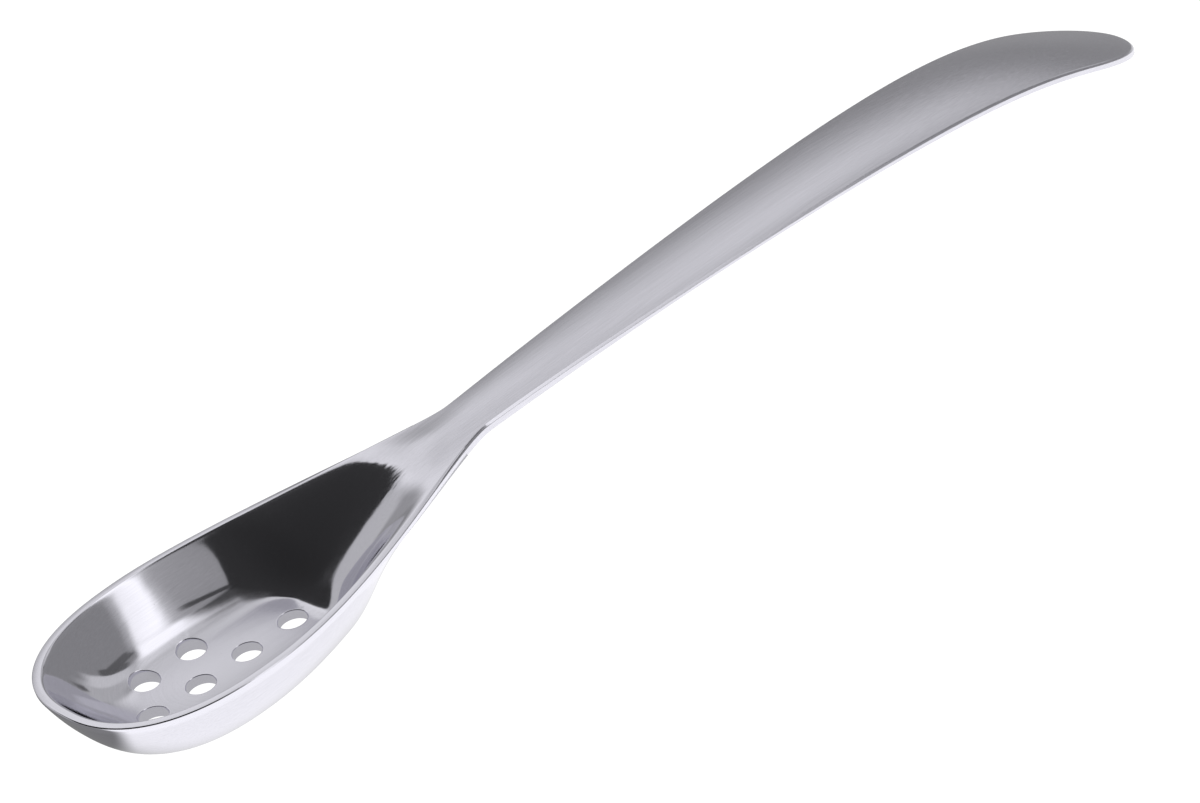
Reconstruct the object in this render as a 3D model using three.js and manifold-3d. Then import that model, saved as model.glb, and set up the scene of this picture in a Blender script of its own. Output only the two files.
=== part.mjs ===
// Olive spoon in stainless steel: a deep bowl pierced by drain holes, a slim neck and a long
// arched handle that widens like a leaf. It is modelled as it lies on a table, on the flat
// under its bowl and on the end of its handle. Lengths are in millimetres. Stations are
// measured along X from the bowl's tip, and Y = 0 is the plane of symmetry.

import * as THREE from 'three';
import { mergeVertices } from 'three/addons/utils/BufferGeometryUtils.js';
import Module from 'manifold-3d';

// Outline seen from above. A pull is the share of a stretch along which a curve keeps the
// direction of its end, and a fullness of 2 is an ellipse
const spoonLength = 250;
const bowlWidth = 42;
const bowlWidestAt = 26.8;
const bowlTipFullness = 2.4;
const bowlShoulderPull = 0.36;
const neckWidth = 11;
const neckAt = 87;
const neckPull = 0.128;
const handleWidth = 24.6;
const handleEndLength = 20.3;
const handleEndFullness = 2.25;
const handleFlarePull = 0.066;
const handleBroadPull = 0.17;

// Top edge seen from the side
const rimHeight = 12.8;
const rimLevelTo = 31;
const rimPull = 0.355;
const archHeight = 16.35;
const crestPastNeck = 51;
const archRisePull = 0.664;
const archFallPull = 0.723;
const handleEndSlope = -0.33;
const handleEndPull = 0.227;

// Bowl
const sheetThickness = 1.8;
const rimWidth = 1.4;
const rimEdge = 0.4;
const wallFullness = 1.8;
const tipWallFullness = 1.6;
const neckWallFullness = 1;
const wallOpensFrom = 23;
const wallOpensTo = 55;
const floorFrom = 16;
const floorTo = 43;
const floorFlatWidth = 16;
const rampPull = 0.198;
const hollowPastNeck = 4;
const hollowEndPull = 0.5625;

// Handle
const neckEdge = 1.5;
const handleEdge = 1;
const handleEndEdge = 1.4;
const handleCrown = 1.1;
const handleBelly = 0.6;
const neckBelly = 1;
const edgeBreak = 0.4;

// Drain holes
const holeDiameter = 5.4;
const holePitch = 9.7;
const holeRowSpacing = 8.4;
const firstHoleAt = 14.9;
const centreRowHoles = 4;
const sideRowHoles = 2;

// Weld between the bowl and the handle, ground flush
const weldBeforeNeck = 2;
const weldWidth = 1.6;

// Finish
const steelColour = 0xc9c8cd;
const bowlRoughness = 0.12;
const weldRoughness = 0.2;
const handleRoughness = 0.28;

// Fineness of the curves and facets
const halvings = 40;
const slopeStep = 0.5;
const roundSteps = 14;
const sideSteps = 20;
const weldSteps = 1;
const handleSteps = 30;
const acrossSteps = 13;
const holeSides = 32;
const leastArea = 1e-9;
const mergeDistance = 1e-5;

const wasm = await Module();
wasm.setup();

// Share of the full size along a rounded end, where 0 is its tip and 1 its widest place
function roundEnd(share, fullness) {
  const toWidest = 1 - THREE.MathUtils.clamp(share, 0, 1);
  return (1 - toWidest ** fullness) ** (1 / fullness);
}

function blend(from, to, leavePull, arrivePull, fromSlope = 0, toSlope = 0) {
  const stretch = to.x - from.x;
  const leave = new THREE.Vector2(1, fromSlope).multiplyScalar(leavePull * stretch).add(from);
  const arrive = new THREE.Vector2(1, toSlope).multiplyScalar(-arrivePull * stretch).add(to);
  return new THREE.CubicBezierCurve(from, leave, arrive, to);
}

// Value of a curve at a station. Stations only grow along these curves, so halving finds it
function valueAt(curve, station) {
  let low = 0;
  let high = 1;
  for (let step = 0; step < halvings; step += 1) {
    const middle = (low + high) / 2;
    if (curve.getPoint(middle).x < station) low = middle;
    else high = middle;
  }
  return curve.getPoint((low + high) / 2).y;
}

// Places along the spoon
const handleWidestAt = spoonLength - handleEndLength;
const weldAt = neckAt - weldBeforeNeck;
const hollowEndAt = neckAt + hollowPastNeck;

// Value of the bowl turning into the handle's along the ramp, where the floor climbs out
function mix(bowlValue, handleValue, station) {
  const alongRamp = THREE.MathUtils.smoothstep(station, floorTo, hollowEndAt);
  return THREE.MathUtils.lerp(bowlValue, handleValue, alongRamp);
}

// Outline: half of the width at a station
const widest = new THREE.Vector2(bowlWidestAt, bowlWidth / 2);
const narrowest = new THREE.Vector2(neckAt, neckWidth / 2);
const broadest = new THREE.Vector2(handleWidestAt, handleWidth / 2);
const bowlSide = blend(widest, narrowest, bowlShoulderPull, neckPull);
const handleSide = blend(narrowest, broadest, handleFlarePull, handleBroadPull);

function halfWidth(station) {
  if (station < bowlWidestAt) {
    return (bowlWidth / 2) * roundEnd(station / bowlWidestAt, bowlTipFullness);
  }
  if (station < neckAt) return valueAt(bowlSide, station);
  if (station < handleWidestAt) return valueAt(handleSide, station);
  return (handleWidth / 2) * roundEnd((spoonLength - station) / handleEndLength, handleEndFullness);
}

// Side view: the rim is level round the bowl's tip, then the top edge rises through the
// neck, arches along the handle and dips to the table at the end
const rimEnd = new THREE.Vector2(rimLevelTo, rimHeight);
const crest = new THREE.Vector2(neckAt + crestPastNeck, archHeight);
const handleEnd = new THREE.Vector2(spoonLength, handleEndEdge);
const riseLine = blend(rimEnd, crest, rimPull, archRisePull);
const fallLine = blend(crest, handleEnd, archFallPull, handleEndPull, 0, handleEndSlope);

function edgeHeight(station) {
  if (station < rimEnd.x) return rimHeight;
  if (station < crest.x) return valueAt(riseLine, station);
  return valueAt(fallLine, station);
}

function towardsCrest(station) {
  return THREE.MathUtils.smoothstep(station, neckAt, crest.x);
}

// Thickness of the side face: almost nothing under the rim, then the edge of the solid
// handle, thinnest at the crest of the arch
function edgeThickness(station) {
  const pastCrest = THREE.MathUtils.smoothstep(station, crest.x, spoonLength);
  const toCrestEdge = THREE.MathUtils.lerp(neckEdge, handleEdge, towardsCrest(station));
  return mix(rimEdge, THREE.MathUtils.lerp(toCrestEdge, handleEndEdge, pastCrest), station);
}

// The handle's top and underside bulge on the same curve all along it, so the bulge goes
// with the square of the width
function bulgeShare(half) {
  return (half / (handleWidth / 2)) ** 2;
}

function crownedTop(station, half) {
  return edgeHeight(station) + handleCrown * bulgeShare(half);
}

// Below, the neck is stiffened by a rounded back that fades along the handle
function handleUnderside(station, half) {
  const back = neckBelly * (1 - towardsCrest(station));
  const belly = back + handleBelly * bulgeShare(half);
  return edgeHeight(station) - edgeThickness(station) - belly;
}

// Middle line of the top face: down the wall at the tip, along the floor, up the ramp and
// on to the handle's crowned back
const rampEnd = new THREE.Vector2(hollowEndAt, crownedTop(hollowEndAt, halfWidth(hollowEndAt)));
const pastRamp = crownedTop(hollowEndAt + slopeStep, halfWidth(hollowEndAt + slopeStep));
const ramp = blend(
  new THREE.Vector2(floorTo, sheetThickness),
  rampEnd,
  rampPull,
  hollowEndPull,
  0,
  (pastRamp - rampEnd.y) / slopeStep,
);

function topMiddle(station, half) {
  if (station < floorFrom) {
    const share = (station - rimWidth) / (floorFrom - rimWidth);
    const wall = 1 - roundEnd(share, tipWallFullness);
    return THREE.MathUtils.lerp(sheetThickness, edgeHeight(station), wall);
  }
  if (station < floorTo) return sheetThickness;
  if (station < hollowEndAt) return valueAt(ramp, station);
  return crownedTop(station, half);
}

// Middle line of the underside: the same sheet below, thickening into the solid handle
function underMiddle(station, half) {
  if (station < floorFrom) {
    const wall = 1 - roundEnd(station / floorFrom, tipWallFullness);
    return wall * (edgeHeight(station) - edgeThickness(station));
  }
  if (station < floorTo) return 0;
  if (station >= hollowEndAt) return handleUnderside(station, half);
  const height = topMiddle(station, half);
  const slope = (topMiddle(station + slopeStep, half) - height) / slopeStep;
  const solidThickness = crownedTop(station, half) - handleUnderside(station, half);
  return height - mix(sheetThickness, solidThickness, station) * Math.hypot(1, slope);
}

function flatShare(station) {
  return mix(floorFlatWidth / bowlWidth, 0, station);
}

// Share of a section's depth at a share of its half width, with a flat in the middle
function sectionDepth(share, station) {
  const flat = flatShare(station);
  const pastFlat = Math.max(0, (share - flat) / (1 - flat));
  const opening = THREE.MathUtils.smoothstep(station, wallOpensFrom, wallOpensTo);
  const fullness = THREE.MathUtils.lerp(wallFullness, neckWallFullness, opening);
  return (1 - pastFlat ** 2) ** (1 / fullness);
}

// One closed section: the underside from the near edge to the far one, then the top face
// back. Top and underside have stations of their own, so that the rim keeps its width
// round the bowl's tip
function section(under, top) {
  const points = [];
  const edge = edgeHeight(under.station) - mix(0, edgeBreak, under.station);
  const foot = edgeHeight(under.station) - edgeThickness(under.station);
  const low = underMiddle(under.station, under.half);
  const rim = edgeHeight(top.station);
  const high = topMiddle(top.station, top.half);
  points.push(new THREE.Vector3(under.station, -under.half, edge));
  for (let step = -acrossSteps; step <= acrossSteps; step += 1) {
    const share = Math.sin(((Math.PI / 2) * step) / acrossSteps);
    const depth = sectionDepth(Math.abs(share), under.station);
    const height = foot - (foot - low) * depth;
    points.push(new THREE.Vector3(under.station, share * under.half, height));
  }
  points.push(new THREE.Vector3(under.station, under.half, edge));
  for (let step = acrossSteps; step >= -acrossSteps; step -= 1) {
    const share = Math.sin(((Math.PI / 2) * step) / acrossSteps);
    const depth = sectionDepth(Math.abs(share), top.station);
    const height = rim - (rim - high) * depth;
    points.push(new THREE.Vector3(top.station, share * top.half, height));
  }
  return points;
}

// Sections fanning round a rounded end, the tip's first
function roundedSections(stationFromTip, length, half, fullness, inset) {
  const sections = [];
  for (let step = 0; step <= roundSteps; step += 1) {
    const angle = ((Math.PI / 2) * step) / roundSteps;
    const along = 1 - Math.cos(angle) ** (2 / fullness);
    const across = Math.sin(angle) ** (2 / fullness);
    const under = { station: stationFromTip(length * along), half: half * across };
    const top = {
      station: stationFromTip(inset + (length - inset) * along),
      half: (half - inset) * across,
    };
    sections.push(section(under, top));
  }
  return sections;
}

function plainSections(from, to, steps) {
  const sections = [];
  for (let step = 0; step <= steps; step += 1) {
    const station = THREE.MathUtils.lerp(from, to, step / steps);
    const half = halfWidth(station);
    const band = mix(rimWidth, edgeBreak, station);
    sections.push(section({ station, half }, { station, half: half - band }));
  }
  return sections;
}

// Skin through a row of sections. A section that has shrunk on to the plane of symmetry is
// closed by itself, and any other end gets a flat face. Triangles without area are left out
function loft(sections) {
  const corners = [];
  const addTriangle = (a, b, c) => {
    if (new THREE.Triangle(a, b, c).getArea() > leastArea) corners.push(a, b, c);
  };
  const count = sections[0].length;
  for (let row = 1; row < sections.length; row += 1) {
    const before = sections[row - 1];
    const after = sections[row];
    for (let index = 0; index < count; index += 1) {
      const next = (index + 1) % count;
      addTriangle(before[index], before[next], after[next]);
      addTriangle(before[index], after[next], after[index]);
    }
  }
  const addEndFace = (section, pointsBack) => {
    if (section.every((point) => point.y === 0)) return;
    for (let index = 0; index < count / 2 - 1; index += 1) {
      const over = section[count - 1 - index];
      const overNext = section[count - 2 - index];
      const faces = [[section[index], section[index + 1], over], [section[index + 1], overNext, over]];
      for (const [a, b, c] of faces) addTriangle(a, pointsBack ? c : b, pointsBack ? b : c);
    }
  };
  addEndFace(sections[0], true);
  addEndFace(sections[sections.length - 1], false);
  return mergeVertices(new THREE.BufferGeometry().setFromPoints(corners), mergeDistance);
}

function toSolid(geometry) {
  geometry.deleteAttribute('normal');
  geometry.deleteAttribute('uv');
  const merged = mergeVertices(geometry, mergeDistance);
  return new wasm.Manifold(new wasm.Mesh({
    numProp: 3,
    vertProperties: new Float32Array(merged.attributes.position.array),
    triVerts: new Uint32Array(merged.index.array),
  }));
}

function toGeometry(solid) {
  const mesh = solid.getMesh();
  const geometry = new THREE.BufferGeometry();
  geometry.setAttribute('position', new THREE.BufferAttribute(mesh.vertProperties, 3));
  geometry.setIndex(new THREE.BufferAttribute(mesh.triVerts, 1));
  return geometry;
}

// Drain holes: a row down the middle and a shorter one on each side, half a pitch along
function holePlaces() {
  const places = [];
  const addRow = (count, start, offset) => {
    for (let index = 0; index < count; index += 1) {
      places.push(new THREE.Vector2(start + index * holePitch, offset));
    }
  };
  addRow(centreRowHoles, firstHoleAt, 0);
  addRow(sideRowHoles, firstHoleAt + holePitch / 2, -holeRowSpacing);
  addRow(sideRowHoles, firstHoleAt + holePitch / 2, holeRowSpacing);
  return places;
}

function drill(place) {
  const length = 2 * rimHeight;
  const cutter = new THREE.CylinderGeometry(holeDiameter / 2, holeDiameter / 2, length, holeSides);
  cutter.rotateX(Math.PI / 2);
  cutter.translate(place.x, place.y, 0);
  return toSolid(cutter);
}

function steel(roughness) {
  return new THREE.MeshStandardMaterial({ color: steelColour, metalness: 1, roughness });
}

function makeBowl() {
  const tip = roundedSections((distance) => distance, bowlWidestAt, bowlWidth / 2,
    bowlTipFullness, rimWidth);
  const sides = plainSections(bowlWidestAt, weldAt, sideSteps);
  let solid = toSolid(loft([...tip, ...sides.slice(1)]));
  for (const place of holePlaces()) solid = solid.subtract(drill(place));
  return new THREE.Mesh(toGeometry(solid), steel(bowlRoughness));
}

function makeWeld() {
  const sections = plainSections(weldAt, weldAt + weldWidth, weldSteps);
  return new THREE.Mesh(loft(sections), steel(weldRoughness));
}

function makeHandle() {
  const shank = plainSections(weldAt + weldWidth, handleWidestAt, handleSteps);
  const end = roundedSections((distance) => spoonLength - distance, handleEndLength,
    handleWidth / 2, handleEndFullness, edgeBreak);
  return new THREE.Mesh(loft([...shank, ...end.reverse().slice(1)]), steel(handleRoughness));
}

const spoon = new THREE.Group();
spoon.position.x = -spoonLength / 2;
for (const [name, piece] of [['bowl', makeBowl()], ['neck_weld', makeWeld()],
  ['handle', makeHandle()]]) {
  piece.name = name;
  spoon.add(piece);
}

export default spoon;
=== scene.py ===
"""Olive spoon in polished stainless steel, lying on a white table.

The bowl, the weld in the neck and the handle are three pieces of one continuous skin. The skin is
a grid over half of the spoon, laid on its top face, over its edge and along its underside, and
mirrored. Stations are measured along X from the bowl's tip.
"""

import math

import bmesh
import bpy
import numpy as np
from bpy.props import FloatProperty, FloatVectorProperty, IntProperty, PointerProperty
from mathutils import Matrix, Vector
from mathutils.geometry import interpolate_bezier


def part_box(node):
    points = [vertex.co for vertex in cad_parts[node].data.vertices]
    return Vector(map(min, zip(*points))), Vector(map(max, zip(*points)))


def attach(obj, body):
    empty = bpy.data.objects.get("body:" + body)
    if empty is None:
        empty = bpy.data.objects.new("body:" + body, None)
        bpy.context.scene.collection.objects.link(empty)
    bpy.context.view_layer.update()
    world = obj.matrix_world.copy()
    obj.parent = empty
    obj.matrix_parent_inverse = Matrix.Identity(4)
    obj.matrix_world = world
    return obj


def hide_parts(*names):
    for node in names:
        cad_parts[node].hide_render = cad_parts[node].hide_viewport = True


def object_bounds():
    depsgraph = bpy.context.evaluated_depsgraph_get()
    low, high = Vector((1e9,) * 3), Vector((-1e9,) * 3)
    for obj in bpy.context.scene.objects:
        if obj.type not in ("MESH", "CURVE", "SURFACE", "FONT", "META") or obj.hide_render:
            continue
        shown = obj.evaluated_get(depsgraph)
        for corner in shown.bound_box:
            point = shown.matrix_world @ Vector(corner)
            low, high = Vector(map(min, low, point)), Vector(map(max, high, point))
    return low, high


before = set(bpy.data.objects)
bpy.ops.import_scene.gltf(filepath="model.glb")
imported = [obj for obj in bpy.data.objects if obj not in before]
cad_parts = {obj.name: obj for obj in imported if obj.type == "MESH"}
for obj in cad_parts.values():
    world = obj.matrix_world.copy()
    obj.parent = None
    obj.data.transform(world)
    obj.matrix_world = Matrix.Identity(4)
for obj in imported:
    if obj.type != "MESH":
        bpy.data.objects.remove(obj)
CAD_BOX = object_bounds()

bl_info = {
    "name": "Olive spoon",
    "version": (1, 0, 0),
    "blender": (4, 5, 0),
    "location": "View3D > Sidebar > Spoon",
    "description": "Models an olive spoon in polished steel on a white table",
    "category": "Add Mesh",
}

MM = 0.001
BODY = "root"
TIP = CAD_BOX[0].x
LENGTH = CAD_BOX[1].x - CAD_BOX[0].x
BOWL_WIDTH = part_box("bowl")[1].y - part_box("bowl")[0].y
HANDLE_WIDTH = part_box("handle")[1].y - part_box("handle")[0].y
WELD_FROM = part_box("neck_weld")[0].x - TIP
WELD_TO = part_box("neck_weld")[1].x - TIP

# Fineness of the skin
CURVE_STEPS = 3000
ROUND_ROWS = 72
BOWL_ROWS = 110
WELD_ROWS = 4
HANDLE_ROWS = 130
TOP_COLUMNS = 44
UNDER_COLUMNS = 40
RING_EVENING = 16
EDGE_SEGMENTS = 4

# Distance of the close rows beside a seam, and distance at which two points are one
SUPPORT = 0.06 * MM
MERGE = 0.5e-6

# How far the middles of the end's rows are spread along the handle's end
END_SPREAD = 0.6

# How much later along the spoon the rolled edge becomes the handle's crown
CROWN_LAG = 12 * MM

# Powers that crowd the columns of the skin towards the edges of the bowl and of the handle
BOWL_CROWDING, HANDLE_CROWDING = 2, 1

# Reach of the frosting inside the rim, in widths of the rim's rounding
FROST_REACH = 2

# Share of that reach on the rim's outside
FROST_OUTSIDE = 0.5

# Share of its reach where the frosting starts to fade
FROST_FADE = 0.3


def length(name, description, metres):
    """Length that the panel can change"""
    return FloatProperty(name=name, description=description, default=metres, unit="LENGTH", precision=5)


def share(name, description, value):
    """Number without a unit that the panel can change"""
    return FloatProperty(name=name, description=description, default=value, precision=3)


def colour(name, description, red, green, blue):
    """Colour that the panel can change"""
    return FloatVectorProperty(
        name=name, description=description, default=(red, green, blue), subtype="COLOR", min=0, max=1
    )


class SpoonOutline(bpy.types.PropertyGroup):
    """Outline seen from above"""

    widest_at: length("Widest at", "Distance from the bowl's tip to its widest place", 26.8 * MM)
    tip_fullness: share("Tip fullness", "Roundness of the bowl's tip, where 2 is an ellipse", 2.4)
    shoulder_pull: share("Shoulder pull", "How far the bowl keeps its full width", 0.36)
    neck_width: length("Neck width", "Width of the neck at its narrowest", 11 * MM)
    neck_at: length("Neck at", "Distance from the bowl's tip to the narrowest place", 87 * MM)
    neck_pull: share("Neck pull", "How far the bowl's sides stay narrow before the neck", 0.128)
    flare_pull: share("Flare pull", "How far the handle stays narrow past the neck", 0.066)
    broad_pull: share("Broad pull", "How far the handle stays broad before its end", 0.17)
    end_length: length("Handle end", "Length of the handle's rounded end", 20.3 * MM)
    end_fullness: share("Handle end fullness", "Roundness of the handle's end", 2.25)


class SpoonProfile(bpy.types.PropertyGroup):
    """Top edge seen from the side"""

    rim_height: length("Rim height", "Height of the bowl's rim above the table", 12.8 * MM)
    rim_level_to: length("Rim level to", "Station where the rim starts to rise", 31 * MM)
    rim_pull: share("Rim pull", "How far the rim stays level", 0.355)
    arch_height: length("Arch height", "Height of the handle's edge at its crest", 16.35 * MM)
    crest_past_neck: length("Crest past neck", "Distance from the neck to the crest", 51 * MM)
    rise_pull: share("Rise pull", "How flat the handle is before its crest", 0.664)
    fall_pull: share("Fall pull", "How flat the handle is past its crest", 0.723)
    end_slope: share("End slope", "Slope of the handle's end", -0.33)
    end_pull: share("End pull", "How far the end keeps its slope", 0.227)


class BowlForm(bpy.types.PropertyGroup):
    """Hollow of the bowl and its wall"""

    sheet: length("Sheet", "Thickness of the bowl's floor", 1.8 * MM)
    rim_width: length("Rim width", "Width of the flat rim", 1.25 * MM)
    rim_edge: length("Rim edge", "Height of the straight outer edge of the rim", 0.6 * MM)
    floor_flat: share("Floor flat", "Share of the hollow's half width that is floor", 0.393)
    floor_dish: share("Floor dish", "Share of the depth that a gentle dish of the floor makes", 0.186)
    wall_from: share("Wall from", "Share of the half width where the wall has turned up fully", 0.99)
    narrows_from: length("Narrows from", "Station where the flat floor starts to narrow", 42 * MM)
    narrows_to: length("Narrows to", "Station where the floor has no flat left", 55 * MM)
    rolls_from: length("Rolls from", "Station where the rim's inner edge starts to roll over", 62 * MM)
    rolls_to: length("Rolls to", "Station where the rim's inner edge has rolled over", 83 * MM)
    outside_flat: share("Outside flat", "Share of the underside that is flat", 0.1)
    outside_bend: share("Outside bend", "How sharply the underside turns up into the sides", 5.0)
    outside_opens_to: length("Outside opens to", "Station where the underside has opened out", 66 * MM)
    ramp_from: length("Ramp from", "Station where the floor starts to climb", 45.6 * MM)
    ramp_steep: length("Ramp steep", "Station where the climb is steepest", 52.9 * MM)
    ramp_to: length("Ramp to", "Station where the hollow has run out", 80.9 * MM)
    ramp_ease: share("Ramp ease", "How soon the climb eases past its steepest place", 1.22)


class HandleForm(bpy.types.PropertyGroup):
    """Thickness and faces of the handle"""

    neck_edge: length("Neck edge", "Height of the side face at the neck", 1.5 * MM)
    crest_edge: length("Crest edge", "Height of the side face at the crest", 1.0 * MM)
    end_edge: length("End edge", "Height of the side face at the end", 1.4 * MM)
    crown: length("Crown", "Bulge of the top face at its broadest", 1.1 * MM)
    bulge_power: share("Bulge power", "How fast crown and belly shrink where the handle narrows", 1.4)
    belly: length("Belly", "Bulge of the underside at its broadest", 0.6 * MM)
    neck_belly: length("Neck belly", "Rounded back under the neck", 1.0 * MM)
    back_bend: share("Back bend", "How sharply the back turns up, where 2 is round", 2.0)
    edge_break: length("Edge break", "Width of the broken upper edge", 0.4 * MM)


class EdgeRounding(bpy.types.PropertyGroup):
    """Rounding that polishing leaves on the edges"""

    rim_inside: length("Rim inside", "Rounding of the rim towards the hollow", 0.4 * MM)
    shoulder_inside: length("Shoulder inside", "Rounding of the rim beside the ramp", 1.6 * MM)
    rim_outside: length("Rim outside", "Rounding of the rim towards the outer wall", 0.2 * MM)
    handle_edge: length("Handle edge", "Rounding of the handle's edges", 0.12 * MM)
    hole_edge: length("Hole edge", "Rounding of the drain holes' edges", 0.13 * MM)


class DrainHoles(bpy.types.PropertyGroup):
    """Holes in the floor of the bowl"""

    diameter: length("Diameter", "Diameter of a drain hole", 5.05 * MM)
    pitch: length("Pitch", "Distance between the holes of a row", 9.7 * MM)
    row_spacing: length("Row spacing", "Distance between the rows", 8.4 * MM)
    first_at: length("First at", "Station of the hole nearest to the tip", 14.9 * MM)
    centre_count: IntProperty(name="Centre row", description="Holes in the middle row", default=4)
    side_count: IntProperty(name="Side rows", description="Holes in each side row", default=2)
    margin: length("Margin", "Floor around a hole that is fitted to it", 0.5 * MM)


class SteelFinish(bpy.types.PropertyGroup):
    """Colour and polish of the steel"""

    steel: colour("Steel", "Colour of the bare steel", 0.745, 0.737, 0.803)
    bowl_roughness: share("Bowl roughness", "Roughness of the polished bowl", 0.07)
    neck_roughness: share("Neck roughness", "Roughness of the ground neck", 0.16)
    handle_roughness: share("Handle roughness", "Roughness of the satin handle", 0.24)
    floor_roughness: share("Floor roughness", "Roughness of the floor round the drain holes", 0.17)
    rim_roughness: share("Rim roughness", "Roughness of the frosted rim", 0.13)
    tone_range: share("Tone range", "How far the steel strays to a duller and a clearer colour", 0.1)
    bowl_tone: share("Bowl tone", "How strongly strokes show in the bowl's colour", 0.9)
    neck_tone: share("Neck tone", "How strongly strokes show in the colour past the neck", 1.6)
    fine_tone: share("Fine tone", "How strongly the finest strokes show in the colour", 0.4)
    broad_tone: share("Broad tone", "How strongly broad clouds show in the colour", 0.3)
    # Painted highlight: the frosted rim and the frosted edges of the holes get a clearer colour than
    # the steel
    rim_painted_highlight: share("Rim tone", "How much clearer the frosted rim is", 0.5)
    bowl_haze: share("Bowl haze", "How strongly strokes show in the bowl's roughness", 0.05)
    neck_haze: share("Neck haze", "How strongly strokes show in the roughness past the neck", 0.12)
    broad_haze: share("Broad haze", "How strongly broad clouds show in the roughness", 0.04)
    stroke_length: length("Stroke length", "Length of a polishing stroke", 16 * MM)
    stroke_width: length("Stroke width", "Width of a polishing stroke", 0.22 * MM)
    bowl_depth: length("Bowl strokes", "Depth of the strokes in the bowl", 0.00128 * MM)
    neck_depth: length("Neck strokes", "Depth of the strokes past the neck", 0.00192 * MM)
    rim_depth: length("Rim strokes", "Depth of the strokes across the rim", 0.0016 * MM)
    furrow_width: length("Furrow width", "Width of the furrows left by grinding the neck", 0.9 * MM)
    furrow_depth: length("Furrow depth", "Depth of the furrows left by grinding the neck", 0.012 * MM)
    wave_length: length("Wave length", "Size of the unevenness left by the buffing wheel", 5 * MM)
    bowl_waves: length("Bowl waves", "Depth of that unevenness in the bowl", 0.02 * MM)
    handle_waves: length("Handle waves", "Depth of that unevenness on the handle", 0.01 * MM)
    dust_spacing: length("Dust spacing", "Distance between specks of dust", 2.2 * MM)
    dust_size: length("Dust size", "Size of a speck of dust", 0.07 * MM)
    dust_height: length("Dust height", "Height of a speck of dust", 0.01 * MM)
    dust_roughness: share("Dust roughness", "How much rougher a speck of dust is", 0.3)


class StudioLight(bpy.types.PropertyGroup):
    """Table, light and camera"""

    table_size: length("Table size", "Half the width of the table", 1.5)
    table_paint: colour("Table paint", "Colour of the table", 0.9, 0.9, 0.9)
    # In the steel's reflections the table glows, brightest in front of the spoon
    table_near: share("Table in front", "Brightness of the table in front of the spoon", 1.1)
    # Painted shade: in the steel's reflections the glowing table darkens behind the spoon, from
    # shade_from to shade_to
    table_behind_painted_shade: share("Table behind", "Brightness of the table behind the spoon", 0.33)
    # Painted shadow under the bowl, which the steel mirrors
    table_under_painted_shadow: share("Table under", "Brightness of the table under the bowl", 0.5)
    # Painted shadow just before the tip, which the steel mirrors
    table_tip_painted_shadow: share("Table before the tip", "Brightness of the table just before the tip", 0.22)
    shade_from: length("Shade from", "Where the table starts to darken, across the spoon", -9 * MM)
    shade_to: length("Shade to", "Where the table is darkest, across the spoon", 4 * MM)
    backdrop: share("Backdrop", "Brightness of the white that the camera sees", 1.2)
    shadow: share("Shadow", "Strength of the shadow that the camera sees", 0.12)
    horizon: share("Horizon", "Brightness of the far wall at table height", 0.33)
    far_wall: share("Far wall", "Brightness of the far wall high above the table", 1.2)
    side_wall: share("Side walls", "Brightness of the walls in front and at the sides", 0.34)
    second_light: share("Second light", "Least brightness in a reflection of a reflection", 0.6)
    focal_length: FloatProperty(
        name="Focal length", description="Focal length of the lens", default=117, unit="CAMERA"
    )
    sensor_width: FloatProperty(
        name="Sensor width", description="Width of the camera's sensor", default=36, unit="CAMERA"
    )
    camera_place: FloatVectorProperty(
        name="Camera place", description="Where the camera stands",
        default=(-0.34004, -0.4545, 0.35126), subtype="TRANSLATION", precision=5
    )
    camera_aim: FloatVectorProperty(
        name="Camera aim", description="Direction that the camera looks in",
        default=(0.4975, 0.6875, -0.529), subtype="DIRECTION", precision=4
    )
    camera_up: FloatVectorProperty(
        name="Camera up", description="Direction of the picture's upper side",
        default=(0.5035, 0.2677, 0.8214), subtype="DIRECTION", precision=4
    )


class Wire:
    """Output of a shader node. Arithmetic on it adds Math nodes"""

    def __init__(self, kit, node, output):
        self.kit = kit
        self.node = node
        self.socket = node.outputs[output]

    def other(self, output):
        return Wire(self.kit, self.node, output)

    def math(self, operation, *values):
        return self.kit.add("ShaderNodeMath", {"operation": operation}, dict(enumerate(values)))

    def __add__(self, value):
        return self.math("ADD", self, value)

    def __sub__(self, value):
        return self.math("SUBTRACT", self, value)

    def __rsub__(self, value):
        return self.math("SUBTRACT", value, self)

    def __mul__(self, value):
        return self.math("MULTIPLY", self, value)

    def __truediv__(self, value):
        return self.math("DIVIDE", self, value)

    def __pow__(self, value):
        return self.math("POWER", self, value)

    __radd__ = __add__
    __rmul__ = __mul__


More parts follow.
